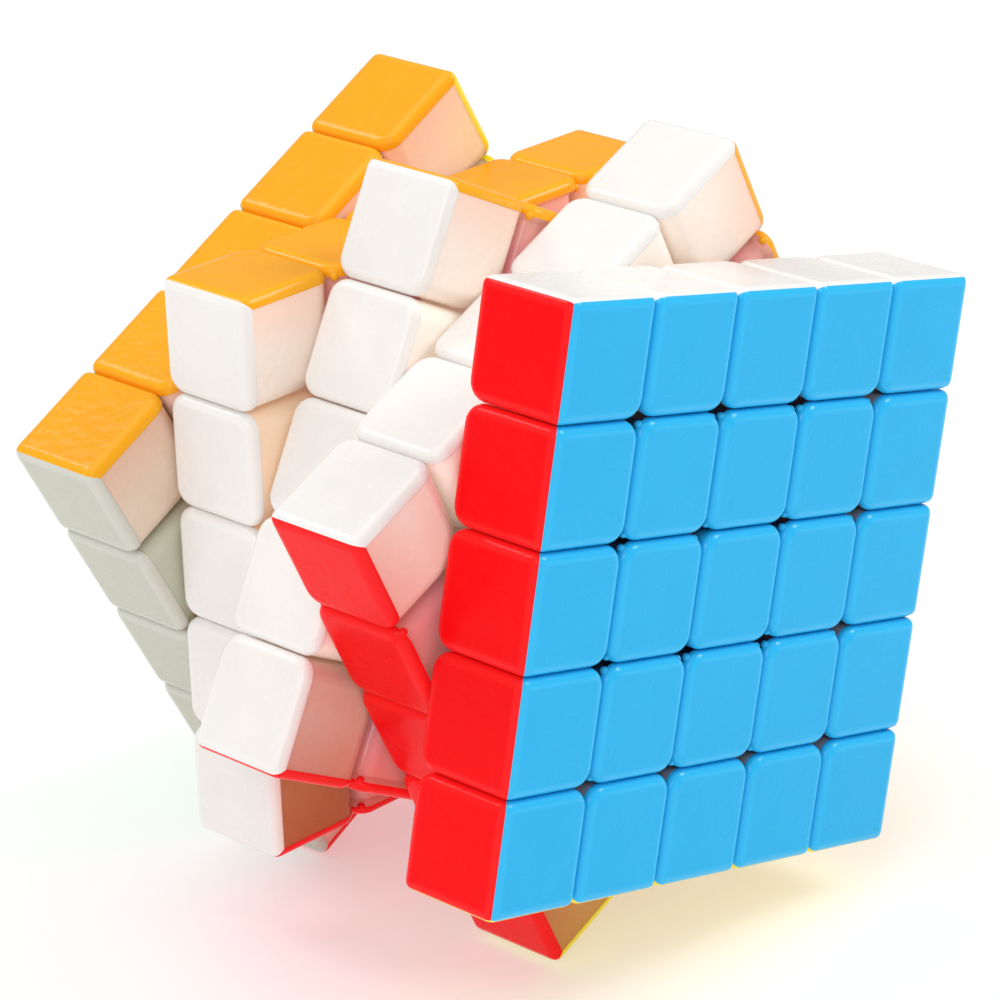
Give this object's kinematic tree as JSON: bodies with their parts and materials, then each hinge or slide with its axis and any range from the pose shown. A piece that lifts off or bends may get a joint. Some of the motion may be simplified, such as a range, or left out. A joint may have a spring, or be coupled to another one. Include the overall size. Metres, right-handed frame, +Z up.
{
  "type": "twisty puzzle cube",
  "caption": "Twisty puzzle cube in moulded plastic, its layers fanned out about one axis, on a screwed core with spring tension and pull-off centre caps.",
  "frame": {"origin": "centre of the core, where the turning axes meet; also the centre of the bounding box", "axes": "the axis that the layers are fanned out about is Y, with the blue face towards -Y and the green face towards +Y; +Z is up as the cube stands on the corner edges of three layers"},
  "size_m": [0.0848, 0.0624, 0.0848],
  "materials": {
    "white": "fine satin",
    "red": "fine satin",
    "yellow": "fine satin",
    "orange": "fine satin",
    "blue": "fine satin",
    "green": "fine satin",
    "pink": "polished",
    "steel": "zinc plated"
  },
  "bodies": {
    "middle_layer": {"middle_edge_white_red": "white", "middle_pair_white": "white", "middle_edge_red_yellow": "red", "middle_pair_red": "red", "middle_edge_yellow_orange": "yellow", "middle_pair_yellow": "yellow", "middle_edge_orange_white": "orange", "middle_pair_orange": "orange", "core_spider": "pink", "centre_base_white": "pink", "centre_base_red": "pink", "centre_base_yellow": "pink", "centre_base_orange": "pink", "tension_spring_white": "steel", "tension_spring_red": "steel", "tension_spring_yellow": "steel", "tension_spring_orange": "steel", "tension_spring_blue": "steel", "tension_spring_green": "steel"},
    "front_layer": {"blue_centre_ring": "blue", "blue_corner_white_red": "blue", "blue_edge_white": "blue", "blue_corner_red_yellow": "blue", "blue_edge_red": "blue", "blue_corner_yellow_orange": "blue", "blue_edge_yellow": "blue", "blue_corner_orange_white": "blue", "blue_edge_orange": "blue", "centre_base_blue": "pink"},
    "second_layer": {"second_bar_white": "white", "second_bar_red": "red", "second_bar_yellow": "yellow", "second_bar_orange": "orange"},
    "fourth_layer": {"fourth_bar_white": "white", "fourth_bar_red": "red", "fourth_bar_yellow": "yellow", "fourth_bar_orange": "orange"},
    "back_layer": {"green_centre_ring": "green", "green_corner_white_orange": "green", "green_edge_white": "green", "green_corner_red_white": "green", "green_edge_red": "green", "green_corner_yellow_red": "green", "green_edge_yellow": "green", "green_corner_orange_yellow": "green", "green_edge_orange": "green", "centre_base_green": "pink"},
    "cap_white": {"centre_cap_white": "white"},
    "cap_red": {"centre_cap_red": "red"},
    "cap_yellow": {"centre_cap_yellow": "yellow"},
    "cap_orange": {"centre_cap_orange": "orange"},
    "cap_blue": {"centre_cap_blue": "blue"},
    "cap_green": {"centre_cap_green": "green"},
    "screw_white": {"tension_screw_white": "steel"},
    "screw_red": {"tension_screw_red": "steel"},
    "screw_yellow": {"tension_screw_yellow": "steel"},
    "screw_orange": {"tension_screw_orange": "steel"},
    "screw_blue": {"tension_screw_blue": "steel"},
    "screw_green": {"tension_screw_green": "steel"}
  },
  "joints": [
    {"name": "front_layer_turn", "type": "hinge", "parent": "middle_layer", "child": "front_layer", "pos_m": [0, 0, 0], "axis": [0, -1, 0], "continuous": true},
    {"name": "second_layer_turn", "type": "hinge", "parent": "middle_layer", "child": "second_layer", "pos_m": [0, 0, 0], "axis": [0, -1, 0], "continuous": true},
    {"name": "fourth_layer_turn", "type": "hinge", "parent": "middle_layer", "child": "fourth_layer", "pos_m": [0, 0, 0], "axis": [0, -1, 0], "continuous": true},
    {"name": "back_layer_turn", "type": "hinge", "parent": "middle_layer", "child": "back_layer", "pos_m": [0, 0, 0], "axis": [0, -1, 0], "continuous": true},
    {"name": "cap_white_pull", "type": "slide", "parent": "middle_layer", "child": "cap_white", "axis": [-0.8918, 0, 0.4524], "range_m": [0, 0.004]},
    {"name": "cap_red_pull", "type": "slide", "parent": "middle_layer", "child": "cap_red", "axis": [-0.4524, 0, -0.8918], "range_m": [0, 0.004]},
    {"name": "cap_yellow_pull", "type": "slide", "parent": "middle_layer", "child": "cap_yellow", "axis": [0.8918, 0, -0.4524], "range_m": [0, 0.004]},
    {"name": "cap_orange_pull", "type": "slide", "parent": "middle_layer", "child": "cap_orange", "axis": [0.4524, 0, 0.8918], "range_m": [0, 0.004]},
    {"name": "cap_blue_pull", "type": "slide", "parent": "front_layer", "child": "cap_blue", "axis": [0, -1, 0], "range_m": [0, 0.004]},
    {"name": "cap_green_pull", "type": "slide", "parent": "back_layer", "child": "cap_green", "axis": [0, 1, 0], "range_m": [0, 0.004]},
    {"name": "screw_white_turn", "type": "hinge", "parent": "middle_layer", "child": "screw_white", "pos_m": [-0.02238, 0, 0.01136], "axis": [-0.8918, 0, 0.4524], "range_deg": [-360, 360]},
    {"name": "screw_red_turn", "type": "hinge", "parent": "middle_layer", "child": "screw_red", "pos_m": [-0.01136, 0, -0.02238], "axis": [-0.4524, 0, -0.8918], "range_deg": [-360, 360]},
    {"name": "screw_yellow_turn", "type": "hinge", "parent": "middle_layer", "child": "screw_yellow", "pos_m": [0.02238, 0, -0.01136], "axis": [0.8918, 0, -0.4524], "range_deg": [-360, 360]},
    {"name": "screw_orange_turn", "type": "hinge", "parent": "middle_layer", "child": "screw_orange", "pos_m": [0.01136, 0, 0.02238], "axis": [0.4524, 0, 0.8918], "range_deg": [-360, 360]},
    {"name": "screw_blue_turn", "type": "hinge", "parent": "middle_layer", "child": "screw_blue", "pos_m": [0, -0.0251, 0], "axis": [0, -1, 0], "range_deg": [-360, 360]},
    {"name": "screw_green_turn", "type": "hinge", "parent": "middle_layer", "child": "screw_green", "pos_m": [0, 0.0251, 0], "axis": [0, 1, 0], "range_deg": [-360, 360]}
  ]
}
